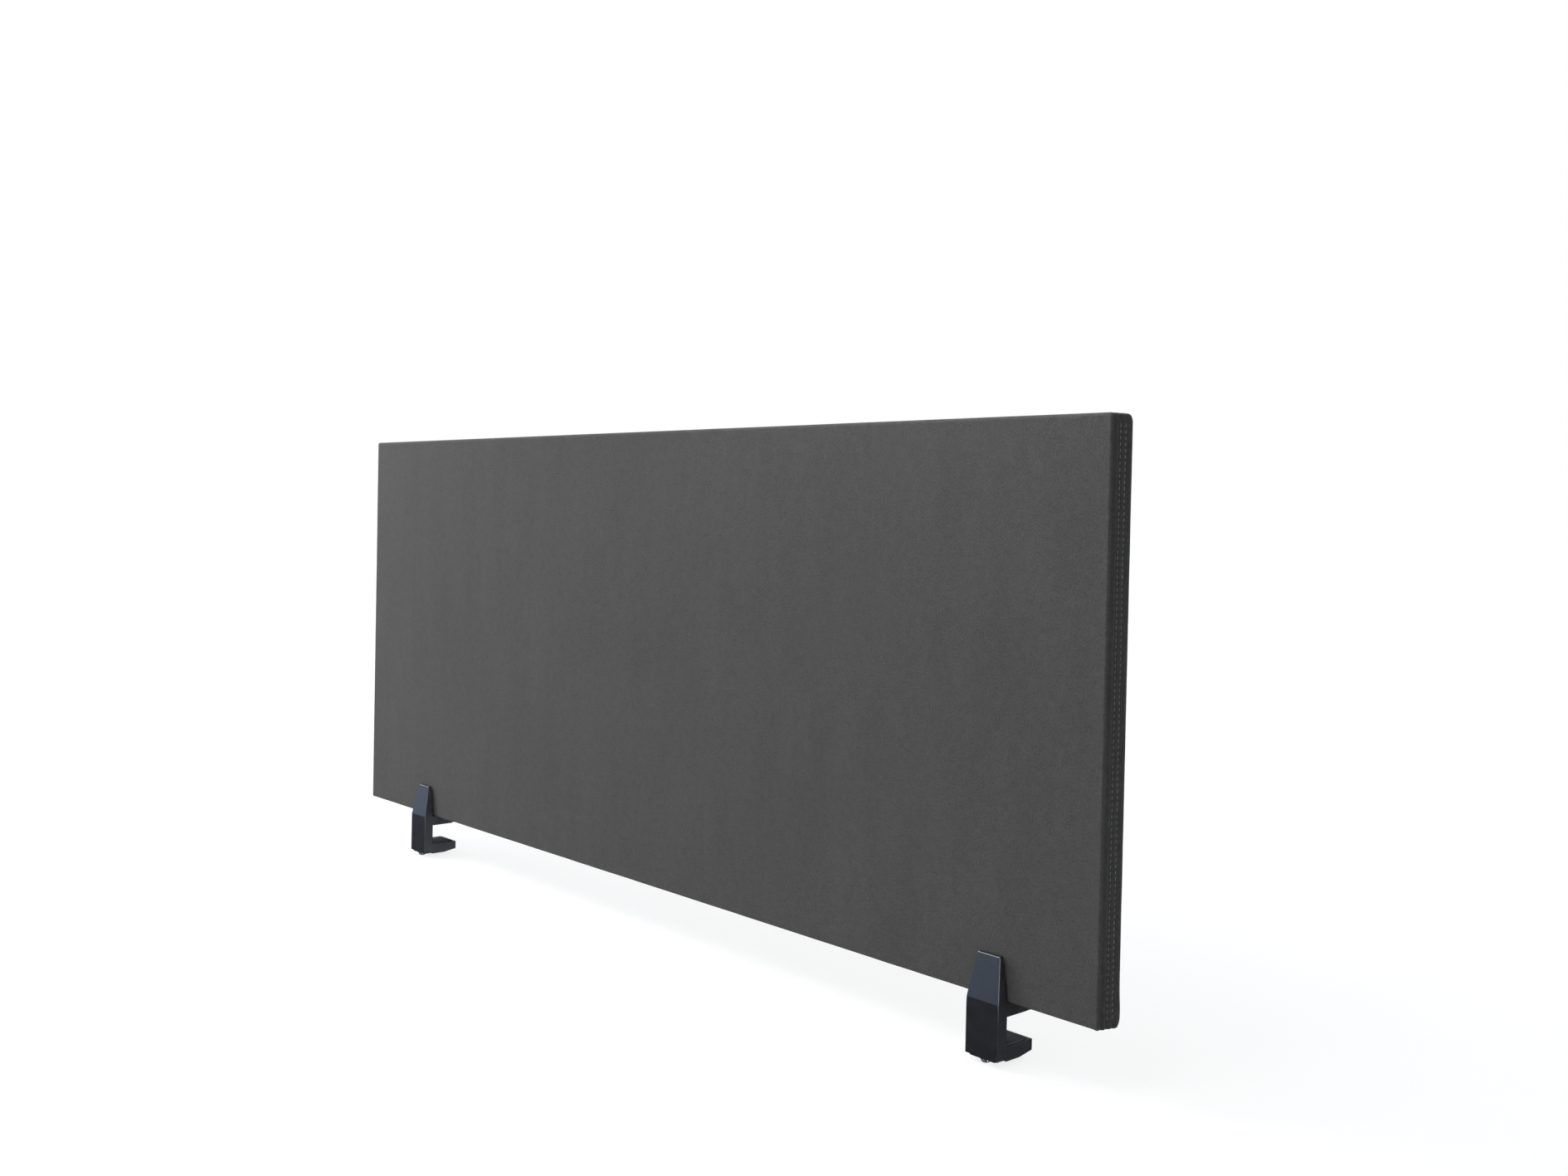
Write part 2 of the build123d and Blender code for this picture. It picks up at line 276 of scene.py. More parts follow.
def cover_fabric():
    """Charcoal woven cloth with a short nap, streaked a little along its height; painted shade in its
    hollows and painted light on its rounded edges.
    """
    look = Look("cover_fabric")
    weave = weave_height(look, 0.62 * MM)
    nap = look.noise(2.2 * MM, detail=4.0, roughness=0.7)
    fuzz = look.noise(0.5 * MM, detail=2.0)
    streak = look.noise(46 * MM, detail=4.0, vector=look.stretched(1.0, 1.0, 0.22))
    mottle = look.noise(9 * MM, detail=3.0, roughness=0.6)
    cloud = look.noise(240 * MM, detail=2.0)
    tone = look.remap(streak, 0.95, 1.05, 0.3, 0.7)
    tone = look.math("MULTIPLY", tone, look.remap(cloud, 0.97, 1.03, 0.3, 0.7))
    tone = look.math("MULTIPLY", tone, look.remap(mottle, 0.91, 1.09, 0.25, 0.75))
    tone = look.math("MULTIPLY", tone, look.remap(nap, 0.66, 1.34, 0.25, 0.75))
    tone = look.math("MULTIPLY", tone, look.remap(fuzz, 0.86, 1.14, 0.25, 0.75))
    tone = look.math("MULTIPLY", tone, look.remap(weave, 0.80, 1.12))
    # painted shade and light: the surface's pointiness darkens the seam's ditches and other hollows and
    # lightens the rounded edges
    painted_crease_shade = look.add("ShaderNodeNewGeometry").outputs["Pointiness"]
    tone = look.math("MULTIPLY", tone, look.remap(painted_crease_shade, 0.72, 1.28, 0.46, 0.54))
    lint = look.add("ShaderNodeTexNoise", Vector=look.stretched(1.0, 1.0, 0.6), Scale=420.0, Detail=0.0)
    lint_mask = look.remap(lint.outputs["Fac"], 0.0, 0.10, 0.83, 0.87)
    colour = look.blend(1.0, (0.0885, 0.0880, 0.0865), look.grey(tone), "MULTIPLY")
    colour = look.blend(lint_mask, colour, (0.5, 0.5, 0.48))
    relief = look.bump(weave, 0.10 * MM, 0.55)
    relief = look.bump(nap, 0.30 * MM, 0.35, relief)
    relief = look.bump(fuzz, 0.12 * MM, 0.35, relief)
    look.set(
        Base_Color=colour, Roughness=0.93, Normal=relief, Sheen_Weight=0.28,
        Sheen_Roughness=0.55, Sheen_Tint=(0.62, 0.61, 0.59), Specular_IOR_Level=0.03,
    )
    return look.material


def hem_tape():
    """The coarser woven strip that closes the cover below."""
    look = Look("hem_tape")
    weave = weave_height(look, 1.1 * MM)
    worn = look.noise(6 * MM)
    colour = look.blend(weave, (0.030, 0.030, 0.032), (0.085, 0.085, 0.088))
    colour = look.blend(look.remap(worn, 0.0, 0.35, 0.45, 0.75), colour, (0.11, 0.11, 0.11))
    look.set(Base_Color=colour, Roughness=0.9, Normal=look.bump(weave, 0.25 * MM, 0.8), Sheen_Weight=0.2)
    return look.material


def sewing_thread():
    """Twisted grey polyester thread."""
    look = Look("sewing_thread")
    _, y, z = look.axes()
    strand_pitch = 0.45 * MM
    slanted = look.math("ADD", z, look.math("MULTIPLY", y, 1.4))
    twist = look.math("SINE", look.math("MULTIPLY", slanted, 2 * math.pi / strand_pitch))
    shade = look.remap(twist, 0.75, 1.1, -1.0, 1.0)
    colour = look.blend(1.0, (0.40, 0.40, 0.40), look.grey(shade), "MULTIPLY")
    look.set(Base_Color=colour, Roughness=0.55, Normal=look.bump(twist, 0.06 * MM), Sheen_Weight=0.35)
    return look.material


def black_moulding():
    """Satin black moulded nylon: fine spark-eroded grain, soft edges with a little wear."""
    look = Look("black_moulding")
    rounded, edge = look.soft_edge(0.8 * MM)
    grain = look.noise(0.35 * MM, detail=2.0)
    flow = look.noise(9 * MM, detail=2.0)
    rubbed = look.noise(2.5 * MM, detail=5.0, roughness=0.7)
    scuff = look.math("MULTIPLY", edge, look.remap(rubbed, 0.0, 0.75, 0.42, 0.70))
    cloudy = look.remap(flow, 0.0, 1.0, 0.3, 0.7)
    colour = look.blend(cloudy, (0.0125, 0.0125, 0.0130), (0.0165, 0.0165, 0.0175))
    colour = look.blend(scuff, colour, (0.055, 0.056, 0.060))
    rough = look.remap(flow, 0.30, 0.39, 0.3, 0.7)
    rough = look.math("ADD", rough, look.math("MULTIPLY", scuff, 0.12))
    relief = look.bump(grain, 0.035 * MM, 0.6, rounded)
    look.set(Base_Color=colour, Roughness=rough, Normal=relief, Specular_IOR_Level=0.55)
    return look.material


def bright_steel():
    """Zinc-plated steel with fine turning marks and a faint tint."""
    look = Look("bright_steel")
    rounded, edge = look.soft_edge(0.18 * MM)
    cloud = look.noise(4 * MM, detail=3.0)
    lines = look.noise(0.25 * MM, detail=1.0, vector=look.stretched(1.0, 1.0, 6.0))
    colour = look.blend(look.remap(cloud, 0.0, 1.0, 0.35, 0.65), (0.55, 0.55, 0.56), (0.66, 0.65, 0.62))
    colour = look.blend(look.math("MULTIPLY", edge, 0.5), colour, (0.80, 0.80, 0.80))
    rough = look.remap(cloud, 0.22, 0.34, 0.3, 0.7)
    relief = look.bump(lines, 0.02 * MM, 0.5, rounded)
    look.set(Base_Color=colour, Metallic=1.0, Roughness=rough, Normal=relief)
    return look.material


def turned_brass():
    """Turned brass, dulled in patches."""
    look = Look("turned_brass")
    rounded, edge = look.soft_edge(0.15 * MM)
    tarnish = look.noise(2 * MM, detail=4.0)
    colour = look.blend(look.remap(tarnish, 0.0, 1.0, 0.4, 0.7), (0.78, 0.56, 0.25), (0.45, 0.31, 0.13))
    colour = look.blend(look.math("MULTIPLY", edge, 0.4), colour, (0.9, 0.72, 0.4))
    look.set(Base_Color=colour, Metallic=1.0, Roughness=look.remap(tarnish, 0.25, 0.5), Normal=rounded)
    return look.material


def black_rubber():
    """Matt rubber with a small raised diamond pattern and a dusting of bloom."""
    look = Look("black_rubber")
    rounded, _ = look.soft_edge(0.3 * MM)
    x, y, _ = look.axes()
    pitch = math.pi / (1.6 * MM)
    first = look.math("SINE", look.math("MULTIPLY", look.math("ADD", x, y), pitch))
    second = look.math("SINE", look.math("MULTIPLY", look.math("SUBTRACT", x, y), pitch))
    diamonds = look.math("MULTIPLY", look.math("ABSOLUTE", first), look.math("ABSOLUTE", second))
    bloom = look.noise(5 * MM, detail=5.0)
    dusty = look.remap(bloom, 0.0, 0.8, 0.45, 0.75)
    colour = look.blend(dusty, (0.012, 0.012, 0.012), (0.045, 0.045, 0.045))
    look.set(Base_Color=colour, Roughness=look.remap(bloom, 0.7, 0.95),
             Normal=look.bump(diamonds, 0.15 * MM, 0.6, rounded))
    return look.material


def sawn_timber(name, along):
    """Softwood with its rings drawn out along one axis, 0 for X and 2 for Z."""
    look = Look(name)
    scale = [1.0, 1.0, 1.0]
    scale[along] = 0.06
    drawn = look.stretched(*scale)
    rings = look.add(
        "ShaderNodeTexWave", {"wave_type": "RINGS", "rings_direction": "XZ"[along // 2]},
        Vector=drawn, Scale=95.0, Distortion=4.0, Detail=2.0, Detail_Scale=1.2,
    ).outputs["Fac"]
    fibre = look.noise(0.8 * MM, detail=4.0, vector=drawn)
    colour = look.blend(rings, (0.60, 0.42, 0.23), (0.42, 0.26, 0.12))
    colour = look.blend(look.remap(fibre, 0.0, 0.5, 0.4, 0.8), colour, (0.30, 0.18, 0.09))
    look.set(Base_Color=colour, Roughness=0.75, Normal=look.bump(fibre, 0.15 * MM, 0.6))
    return look.material


def hardboard():
    """Smooth brown fibreboard, flecked."""
    look = Look("hardboard")
    fleck = look.noise(1.5 * MM, detail=6.0, roughness=0.8)
    colour = look.blend(look.remap(fleck, 0.0, 1.0, 0.35, 0.7), (0.14, 0.075, 0.035), (0.26, 0.15, 0.075))
    look.set(Base_Color=colour, Roughness=look.remap(fleck, 0.45, 0.7), Normal=look.bump(fleck, 0.05 * MM))
    return look.material


def honeycomb_paper():
    """Brown paper board with its cells showing as a faint mesh."""
    look = Look("honeycomb_paper")
    cells = look.add("ShaderNodeTexVoronoi", {"feature": "DISTANCE_TO_EDGE"},
                     Vector=look.stretched(1.0, 0.1, 1.0), Scale=70.0, Randomness=0.15).outputs["Distance"]
    wall = look.remap(cells, 1.0, 0.0, 0.0, 0.12)
    fibre = look.noise(1.0 * MM, detail=5.0)
    colour = look.blend(wall, (0.34, 0.23, 0.13), (0.52, 0.38, 0.23))
    colour = look.blend(look.remap(fibre, 0.0, 0.35), colour, (0.26, 0.17, 0.09))
    look.set(Base_Color=colour, Roughness=0.85, Normal=look.bump(wall, 0.4 * MM, 0.7))
    return look.material


def open_foam():
    """Off-white open-cell foam."""
    look = Look("open_foam")
    cells = look.add("ShaderNodeTexVoronoi", {"feature": "DISTANCE_TO_EDGE"},
                     Vector=look.place, Scale=900.0).outputs["Distance"]
    pore = look.remap(cells, 1.0, 0.0, 0.02, 0.22)
    colour = look.blend(pore, (0.50, 0.49, 0.44), (0.74, 0.73, 0.68))
    look.set(Base_Color=colour, Roughness=0.95, Normal=look.bump(pore, 0.3 * MM, 0.8), Sheen_Weight=0.3)
    return look.material


# ---------------------------------------------------------------- mesh helpers

def mesh_object(name, points, faces, material, body):
    """A smooth mesh piece that rides on a body."""
    mesh = bpy.data.meshes.new(name)
    mesh.from_pydata([tuple(point) for point in points], [], faces)
    mesh.update()
    mesh.shade_smooth()
    piece = bpy.data.objects.new(name, mesh)
    bpy.context.scene.collection.objects.link(piece)
    piece.data.materials.append(material)
    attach(piece, body)
    return piece


def spaced(low, high, step, edge, edge_parts):
    """Values from low to high, about a step apart, with extra ones within an edge of each end."""
    angles = np.linspace(0, math.pi / 2, edge_parts + 1)[1:]
    near = low + edge * (1 - np.cos(angles))
    far = high - edge * (1 - np.cos(angles))
    count = max(2, round((far[-1] - near[-1]) / step))
    middle = np.linspace(near[-1], far[-1], count + 1)[1:-1]
    return np.concatenate([[low], near, middle, far[::-1], [high]])


def lattice_surface(lines):
    """Points and quads of a box's surface, cut on the given x, y and z lines."""
    sizes = [len(line) for line in lines]
    index = {}
    points = []
    faces = []

    def corner(i, j, k):
        key = (i, j, k)
        if key not in index:
            index[key] = len(points)
            points.append((lines[0][i], lines[1][j], lines[2][k]))
        return index[key]

    for fixed in range(3):
        first, second = (axis for axis in range(3) if axis != fixed)
        for side in (0, sizes[fixed] - 1):
            for a in range(sizes[first] - 1):
                for b in range(sizes[second] - 1):
                    ring = []
                    for da, db in ((0, 0), (1, 0), (1, 1), (0, 1)):
                        place = [0, 0, 0]
                        place[fixed], place[first], place[second] = side, a + da, b + db
                        ring.append(corner(*place))
                    flip = (side == 0) != (fixed == 1)
                    faces.append(ring[::-1] if flip else ring)
    return np.array(points), faces


def rounded(points, low, high, radius):
    """Move a box's surface points onto a box with rounded edges; radius is the rounding in x, y and z."""
    inner = np.clip(points, low + radius, high - radius)
    out = (points - inner) / radius
    length = np.linalg.norm(out, axis=1, keepdims=True)
    length[length < 1e-9] = 1.0
    return inner + out / length * radius * (np.abs(out).max(axis=1, keepdims=True) > 1e-9)


# ---------------------------------------------------------------- the sewn cover

def smooth_step(value, low, high):
    """0 up to low, 1 from high on, and a smooth rise between."""
    share = np.clip((value - low) / (high - low), 0, 1)
    return share * share * (3 - 2 * share)


def hump(value, middle, width):
    """A smooth bump of height 1."""
    return np.exp(-((value - middle) / width) ** 2)


def slow_waves(points, size, seed):
    """Smooth noise at each point, between -1 and 1."""
    return np.array([noise.noise(Vector(point) / size + Vector((seed, seed, seed))) for point in points])


def stretched_face():
    """How far cloth that is held at its border stands out over a padded face, from 0 to 1.

    A sheet is pinned along its border and blown out by a cloth simulation; the crown it takes is
    returned with the x and z lines of its grid."""
    across, up = 76, 31
    settle_steps = 24
    flatness = 0.35               # the quick crown is a sine raised to this power
    xs = np.linspace(panel_low.x, panel_high.x, across)
    zs = np.linspace(panel_low.z, panel_high.z, up)
    crown_x = np.sin(np.linspace(0, math.pi, across)) ** flatness
    crown_z = np.sin(np.linspace(0, math.pi, up)) ** flatness
    points = [(x, panel_low.y, z) for z in zs for x in xs]
    faces = [
        (k * across + i, k * across + i + 1, (k + 1) * across + i + 1, (k + 1) * across + i)
        for k in range(up - 1) for i in range(across - 1)
    ]
    mesh = bpy.data.meshes.new("cloth_trial")
    mesh.from_pydata(points, [], faces)
    trial = bpy.data.objects.new("cloth_trial", mesh)
    bpy.context.scene.collection.objects.link(trial)
    border = [
        k * across + i for k in range(up) for i in range(across)
        if k in (0, up - 1) or i in (0, across - 1)
    ]
    trial.vertex_groups.new(name="border").add(border, 1.0, "REPLACE")
    cloth = trial.modifiers.new("cloth", "CLOTH")
    cloth.settings.quality = 6
    cloth.settings.mass = 0.3
    cloth.settings.tension_stiffness = 25
    cloth.settings.compression_stiffness = 25
    cloth.settings.shear_stiffness = 12
    cloth.settings.bending_stiffness = 0.6
    cloth.settings.air_damping = 4
    cloth.settings.shrink_min = -0.006
    cloth.settings.vertex_group_mass = "border"
    cloth.settings.effector_weights.gravity = 0
    cloth.settings.use_pressure = True
    cloth.settings.uniform_pressure_force = 4
    cloth.point_cache.frame_end = settle_steps
    for step in range(1, settle_steps + 1):
        bpy.context.scene.frame_set(step)
    shaped = trial.evaluated_get(bpy.context.evaluated_depsgraph_get())
    out = np.array([vertex.co.y for vertex in shaped.data.vertices]).reshape(up, across)
    out = np.abs(out - panel_low.y)
    bpy.context.scene.frame_set(1)
    bpy.data.objects.remove(trial)
    peak = np.percentile(out, 90)
    if peak <= 0:
        return xs, zs, np.outer(crown_z, crown_x)
    return xs, zs, np.clip(out / peak, 0, 1.1) ** 0.5


def sampled(field, xs, zs, x, z):
    """The field's value at each x, z, by bilinear interpolation."""
    i = np.clip(np.searchsorted(xs, x) - 1, 0, len(xs) - 2)
    k = np.clip(np.searchsorted(zs, z) - 1, 0, len(zs) - 2)
    u = np.clip((x - xs[i]) / (xs[i + 1] - xs[i]), 0, 1)
    w = np.clip((z - zs[k]) / (zs[k + 1] - zs[k]), 0, 1)
    low = field[k, i] * (1 - u) + field[k, i + 1] * u
    high = field[k + 1, i] * (1 - u) + field[k + 1, i + 1] * u
    return low * (1 - w) + high * w


def rounded_cover(flat, low, high):
    """Round the cover: its section tight at the front and full at the back, and then its ends' rims."""
    at_back = flat[:, 1] > panel_middle.y
    at_top = flat[:, 2] > panel_middle.z
    rim = front_edge_round + smooth_step(flat[:, 1], low[1], high[1]) * (rear_edge_round - front_edge_round)
    corner = np.where(at_top, np.where(at_back, top_rear_round, top_front_round),
                      np.where(at_back, bottom_rear_round, bottom_front_round))
    corner = np.maximum(corner, rim)[:, None]
    rim = rim[:, None]

    # the rounded rim is rolled along a line that lies one rim radius inside the rounded section
    section = flat[:, 1:]
    centre = np.clip(section, low[1:] + corner, high[1:] - corner)
    out = section - centre
    reach = np.maximum(np.linalg.norm(out, axis=1, keepdims=True), 1e-9)
    inner = np.empty_like(flat)
    inner[:, 1:] = centre + out * np.minimum(1, (corner - rim) / reach)
    inner[:, :1] = np.clip(flat[:, :1], low[0] + rim, high[0] - rim)
    away = flat - inner
    return inner + away / np.maximum(np.linalg.norm(away, axis=1, keepdims=True), 1e-9) * rim


def seam_relief(points):
    """How far the cloth stands behind the end's plane, by its place; less than 0 is in front of it."""
    wander = seam_wander * slow_waves(points * (0, 0, 1), 60 * MM, 3.7)
    share = (points[:, 1] + wander - panel_low.y) / panel_size.y
    puckers = 0.5 - 0.5 * np.cos(2 * math.pi * (points[:, 2] - stitch_start) / stitch_pitch)
    swell = 0.5 + 0.5 * slow_waves(points * (0, 0, 1), 26 * MM, 8.3)
    back = np.full(len(points), seam_base)
    back += hollow_depth * hump(share, front_hollow, 0.07)
    back -= roll_height * (0.8 + 0.2 * swell) * hump(share, seam_roll, 0.045)
    back += ditch_depth * (0.75 + 0.25 * swell) * hump(share, seam_ditch, 0.020)
    for row in stitch_rows:
        back += stitch_channel_depth * (0.6 + 0.4 * puckers) * hump(share, row, 0.030)
    back -= roll_height * 0.7 * (0.6 + 0.4 * puckers) * hump(share, sum(stitch_rows) / 2, 0.075)
    back -= roll_height * 0.45 * hump(share, rear_roll, 0.06)
    back += seam_unevenness * slow_waves(points * (0, 1, 0.5), 14 * MM, 9.1)
    above_foot = points[:, 2] - panel_low.z
    full = rear_swell * (1 + foot_bulge * hump(above_foot, foot_bulge_height, foot_bulge_height))
    return back - end_swell - full * smooth_step(share, 0.55, 0.95)


def hem_relief(points):
    """How far the lower edge lifts: slow ripples, and loose cloth that sags and tucks at each foot."""
    ripple = 0.5 + 0.5 * slow_waves(points * (1, 1, 0), 30 * MM, 5.3)
    beyond = np.abs(points[:, 0] - panel_middle.x) - (panel_size.x / 2 - loose_length)
    loose = smooth_step(beyond, 0, loose_length)
    share = (points[:, 1] - panel_low.y) / panel_size.y
    sag = foot_sag * np.clip(share / 0.85, 0, 1)
    tucks = np.zeros(len(points))
    for place, width, lift in ((seam_ditch, 0.05, 1.0), (sum(stitch_rows) / 2 + 0.1, 0.04, 0.6)):
        tucks += foot_tuck * lift * hump(share, place, width)
    return hem_ripple * ripple * (1 - loose) + loose * (tucks - sag)


def cover_lines(low, high):
    """The x, y and z lines of the cover's grid: close at its rounded edges and up its seams."""
    rim_parts = 7
    rim = spaced(low[0], low[0] + 2 * edge_fade, edge_fade, rear_edge_round, rim_parts)[:rim_parts + 1]
    across = spaced(low[0], high[0], face_step, edge_fade, 10)
    across = np.concatenate([rim, across[np.abs(across) < -rim[-1]], -rim[::-1]])
    through = spaced(low[1], high[1], depth_step, rear_edge_round, 5)
    corner_zone = 15.0 * MM
    foot = spaced(low[2], low[2] + 2 * corner_zone, height_step, bottom_rear_round, 9)
    head = spaced(high[2] - 2 * corner_zone, high[2], height_step, top_rear_round, 9)
    foot = foot[foot < low[2] + corner_zone]
    head = head[head > high[2] - corner_zone]
    count = round((head[0] - foot[-1]) / height_step)
    return across, through, np.concatenate([foot, np.linspace(foot[-1], head[0], count + 1)[1:-1], head])


def sewn_cover(material):
    """The cover: a taut skin, crowned over its padding, with a topstitched seam at each end."""
    low = np.array(panel_low) + skin_inset
    high = np.array(panel_high) - skin_inset
    flat, faces = lattice_surface(cover_lines(low, high))
    end_x = panel_size.x / 2 - skin_inset
    from_middle = np.abs(flat[:, 0] - panel_middle.x)
    on_bottom = flat[:, 2] < low[2] + 0.01 * MM
    opening = (
        on_bottom & (from_middle < end_x - end_hem)
        & (flat[:, 1] > low[1] + side_hem) & (flat[:, 1] < high[1] - side_hem)
    )
    faces = [face for face in faces if not all(opening[corner] for corner in face)]
    points = rounded_cover(flat, low, high)

    # the front and back fall away from their middles, and everything between follows in proportion
    xs, zs, crown = stretched_face()
    stand = sampled(crown, xs, zs, flat[:, 0], flat[:, 2])
    through = (flat[:, 1] - low[1]) / (high[1] - low[1])
    fall = np.zeros((2, len(flat)))
    for side in (0, 1):
        waves = slow_waves(flat * (1, 0, 0.3), 80 * MM, 1.3 + side)
        fall[side] = crown_depth * (1 - stand) + ripple_depth * (0.5 + 0.5 * waves)
    points[:, 1] += fall[0] * (1 - through) - fall[1] * through

    # each end takes its seam's relief, which fades out over the faces next to it
    on_end = smooth_step(from_middle, end_x - edge_fade, end_x)
    inward = np.sign(panel_middle.x - flat[:, 0])
    points[:, 0] += on_end ** 2 * inward * seam_relief(flat)

    on_top = smooth_step(flat[:, 2], high[2] - edge_fade, high[2])
    points[:, 2] -= on_top * (0.1 * MM + 0.1 * MM * slow_waves(flat * (1, 1, 0), 70 * MM, 7.7))
    at_foot = 1 - smooth_step(flat[:, 2], low[2], low[2] + edge_fade)
    points[:, 2] += at_foot * hem_relief(flat)

    cover = mesh_object("sewn_cover", points, faces, material, "panel")
    skin = cover.modifiers.new("skin", "SOLIDIFY")
    skin.thickness = skin_thickness
    skin.offset = -1
    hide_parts("fabric_cover")


def capsule(length, radius, around=8, rings=3):
    """Points and faces of a rounded rod along Z, centred on the origin."""
    profile = []
    for ring in range(rings + 1):
        angle = math.pi / 2 * (1 - ring / rings)
        profile.append((radius * math.cos(angle), length / 2 - radius + radius * math.sin(angle)))
    profile += [(r, -z) for r, z in reversed(profile)]
    points = []
    for r, z in profile[1:-1]:
        for step in range(around):
            turn = 2 * math.pi * step / around
            points.append((r * math.cos(turn), r * math.sin(turn), z))
    top = len(points)
    points.append((0, 0, profile[0][1]))
    points.append((0, 0, profile[-1][1]))
    faces = []
    rows = len(profile) - 2
    for row in range(rows - 1):
        for step in range(around):
            after = (step + 1) % around
            faces.append((
                row * around + step, (row + 1) * around + step,
                (row + 1) * around + after, row * around + after,
            ))
    for step in range(around):
        after = (step + 1) % around
        faces.append((top, step, after))
        last = (rows - 1) * around
        faces.append((top + 1, last + after, last + step))
    return np.array(points), faces


def end_stitching(side, material):
    """Two rows of topstitching down one end, each stitch a short length of thread."""
    chance = random.Random(17 if side > 0 else 29)
    rod, rod_faces = capsule(stitch_length, thread_radius)
    bulge = 1 - (np.abs(rod[:, 2]) / (stitch_length / 2)) ** 2
    points, faces = [], []
    count = int((panel_high.z - 0.6 * stitch_pitch - stitch_start) / stitch_pitch)
    for row in stitch_rows:
        y = panel_low.y + panel_size.y * row
        for number in range(count):
            z = stitch_start + (number + 0.5) * stitch_pitch
            lean = math.radians(chance.uniform(-5, 5) + 4)
            spot = np.array([[0, y, z]])
            stray = seam_wander * slow_waves(spot * (0, 0, 1), 60 * MM, 3.7)[0]
            sunk = seam_relief(spot - (0, stray, 0))[0]
            x = panel_middle.x + side * (panel_size.x / 2 - skin_inset - sunk)
            turned = rod.copy()
            turned[:, 1] = rod[:, 1] + rod[:, 2] * math.tan(lean)
            turned[:, 0] += side * thread_radius * (0.9 * bulge - 0.35)
            start = len(points)
            points.extend(turned + (x, y - stray + chance.uniform(-0.08, 0.08) * MM, z))
            faces.extend(tuple(start + corner for corner in face) for face in rod_faces)
    name = "right_end_stitching" if side > 0 else "left_end_stitching"
    mesh_object(name, points, faces, material, "panel")


def corner_gap(rear_round, inward):
    """How near one face of the panel its rounded rear corner leaves room, this far in from the other."""
    across = skin_inset + rear_round - inward
    room = rear_round - skin_thickness - corner_slack
    return skin_inset + rear_round - math.sqrt(room ** 2 - across ** 2)


def closing_strip(material):
    """The woven strip that closes the cover below, sagging a little between its fastenings."""
    low, high = (np.array(corner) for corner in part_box("cover_closing_strip"))
    low[2] = high[2] - strip_thickness
    high[1] = panel_high.y - corner_gap(bottom_rear_round, low[2] - panel_low.z)
    lines = (
        spaced(low[0], high[0], 6 * MM, 1.0 * MM, 3),
        spaced(low[1], high[1], 1.5 * MM, 1.0 * MM, 3),
        np.linspace(low[2], high[2], 3),
    )
    flat, faces = lattice_surface(lines)
    points = rounded(flat, low, high, np.full(3, 0.45 * (high[2] - low[2])))
    points[:, 2] += strip_waves * slow_waves(points * (1, 1, 0), 30 * MM, 2.2)
    strip = mesh_object("woven_closing_strip", points, faces, material, "panel")
    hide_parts("cover_closing_strip")


def foam_sheet(node, name, material):
    """A padding sheet with soft edges and an uneven sawn face, pressed in a little by the cloth."""
    low, high = (np.array(corner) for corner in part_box(node))
    if high[1] < panel_middle.y:
        low[1] += foam_squeeze
    else:
        # the cover is rounder than the CAD's at its rear corners, and this sheet stops short of them
        high[1] -= foam_squeeze
        shoulder = panel_high.y - high[1] + foam_edge_round
        low[2] = panel_low.z + corner_gap(bottom_rear_round, shoulder)
        high[2] = panel_high.z - corner_gap(top_rear_round, shoulder)
    lines = tuple(
        spaced(low[axis], high[axis], step, 1.5 * MM, 3)
        for axis, step in ((0, 20 * MM), (1, 1.5 * MM), (2, 20 * MM))
    )
    flat, faces = lattice_surface(lines)
    points = rounded(flat, low, high, np.array((foam_end_round, foam_edge_round, foam_end_round)))
    uneven = 0.5 + 0.5 * slow_waves(points, 28 * MM, 4.4)
    points[:, 1] += np.sign((low[1] + high[1]) / 2 - flat[:, 1]) * foam_uneven * uneven
    sheet = mesh_object(name, points, faces, material, "panel")
    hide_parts(node)


# ---------------------------------------------------------------- screws

def hexagon_radius(angle, flats):
    """Distance from a hexagon's centre to its side at an angle."""
    sector = (angle + math.pi / 6) % (math.pi / 3) - math.pi / 6
    return flats / 2 / math.cos(sector)


def revolved(profile, around, to_place):
    """A closed skin from rings; profile gives (radius function of angle, height) from end to end."""
    points, faces = [], []
    for radius_at, height in profile:
        for step in range(around):
            angle = 2 * math.pi * step / around
            radius = radius_at(angle)
            points.append(to_place(radius * math.cos(angle), radius * math.sin(angle), height))
    for ring in range(len(profile) - 1):
        for step in range(around):
            after = (step + 1) % around
            faces.append((
                ring * around + step, ring * around + after,
                (ring + 1) * around + after, (ring + 1) * around + step,
            ))
    faces.append(tuple(range(around))[::-1])
    last = (len(profile) - 1) * around
    faces.append(tuple(range(last, last + around)))
    return points, faces


def plain(radius):
    """The radius of a round ring, the same at every angle."""
    return lambda angle: radius


def threaded(radius, height, start, end):
    """The radius of a cut thread at this height; it runs out over one pitch at each end."""
    run = min(1.0, max(0.0, (height - start) / thread_pitch), max(0.0, (end - height) / thread_pitch))

    def radius_at(angle):
        phase = (height / thread_pitch - angle / (2 * math.pi)) % 1.0
        ridge = abs(2 * phase - 1)
        return radius - thread_depth * run * ridge - 0.01 * MM

    return radius_at


def thread_rings(radius, start, end, per_pitch=8):
    """The rings of a cut thread between two heights."""
    count = int((end - start) / thread_pitch * per_pitch)
    heights = [start + (end - start) * step / count for step in range(count + 1)]
    return [(threaded(radius, height, start, end), height) for height in heights]


